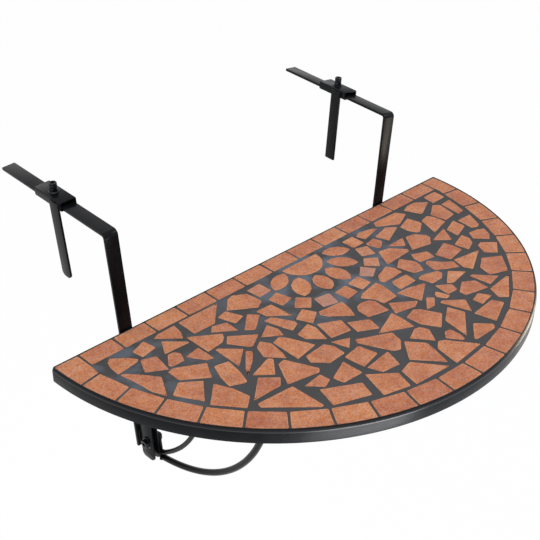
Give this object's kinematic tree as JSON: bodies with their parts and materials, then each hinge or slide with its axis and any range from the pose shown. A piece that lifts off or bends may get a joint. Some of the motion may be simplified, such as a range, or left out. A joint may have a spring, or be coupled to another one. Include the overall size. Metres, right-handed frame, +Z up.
{
  "type": "balcony railing bar table",
  "caption": "Half-round mosaic table top in a steel rim, carried by flat-bar hooks that hang over a railing, with sliding screw clamps and curved stays below.",
  "frame": {"origin": "the railing's top front edge at the middle of the table's straight edge: level with the underside of the hooks' arms and with the back of their legs", "axes": "+X along the straight edge to the right as seen from the round front, +Y over the railing and away from the table, +Z up"},
  "size_m": [0.76, 0.6241, 0.3923],
  "materials": {
    "black_steel": "satin black powder coat",
    "black_fasteners": "black oxide",
    "terracotta": "unglazed mottled terracotta",
    "grout": "dark slate-grey cement grout",
    "cement_board": "grey cement board"
  },
  "bodies": {
    "table_frame": {"rim_band": "black_steel", "support_rail_left": "black_steel", "support_rail_right": "black_steel", "cross_rail": "black_steel", "hook_left": "black_steel", "hook_right": "black_steel", "channel_bracket_left": "black_steel", "channel_bracket_right": "black_steel", "stay_plate_left": "black_steel", "stay_plate_right": "black_steel", "stay_front_left": "black_steel", "stay_front_right": "black_steel", "stay_rear_left": "black_steel", "stay_rear_right": "black_steel", "rail_bolts": "black_fasteners", "rail_nuts": "black_fasteners", "pin_bolts": "black_fasteners", "pin_washers": "black_fasteners", "pin_nuts": "black_fasteners", "border_tiles_arc": "terracotta", "border_tiles_straight": "terracotta", "mosaic_chips": "terracotta", "rosette_petals": "terracotta", "rosette_squares": "terracotta", "grout_bed": "grout", "backing_board": "cement_board"},
    "clamp_left": {"clamp_sleeve_left": "black_steel", "clamp_leg_left": "black_steel", "clamp_nut_left": "black_fasteners"},
    "clamp_right": {"clamp_sleeve_right": "black_steel", "clamp_leg_right": "black_steel", "clamp_nut_right": "black_fasteners"},
    "screw_left": {"clamp_screw_left": "black_fasteners"},
    "screw_right": {"clamp_screw_right": "black_fasteners"}
  },
  "joints": [
    {"name": "clamp_slide_left", "type": "slide", "parent": "table_frame", "child": "clamp_left", "axis": [0.0383, 0.9993, 0.0029], "range_m": [-0.08, 0.08]},
    {"name": "clamp_slide_right", "type": "slide", "parent": "table_frame", "child": "clamp_right", "axis": [0.1215, 0.9925, -0.0093], "range_m": [-0.08, 0.08]},
    {"name": "screw_turn_left", "type": "hinge", "parent": "clamp_left", "child": "screw_left", "pos_m": [-0.26968, 0.12191, 0.00979], "axis": [-0.0767, 0, 0.9971], "range_deg": [0, 1080]},
    {"name": "screw_turn_right", "type": "hinge", "parent": "clamp_right", "child": "screw_right", "pos_m": [0.26762, 0.1181, 0.0083], "axis": [0.0767, 0, 0.9971], "range_deg": [0, 1080]}
  ]
}
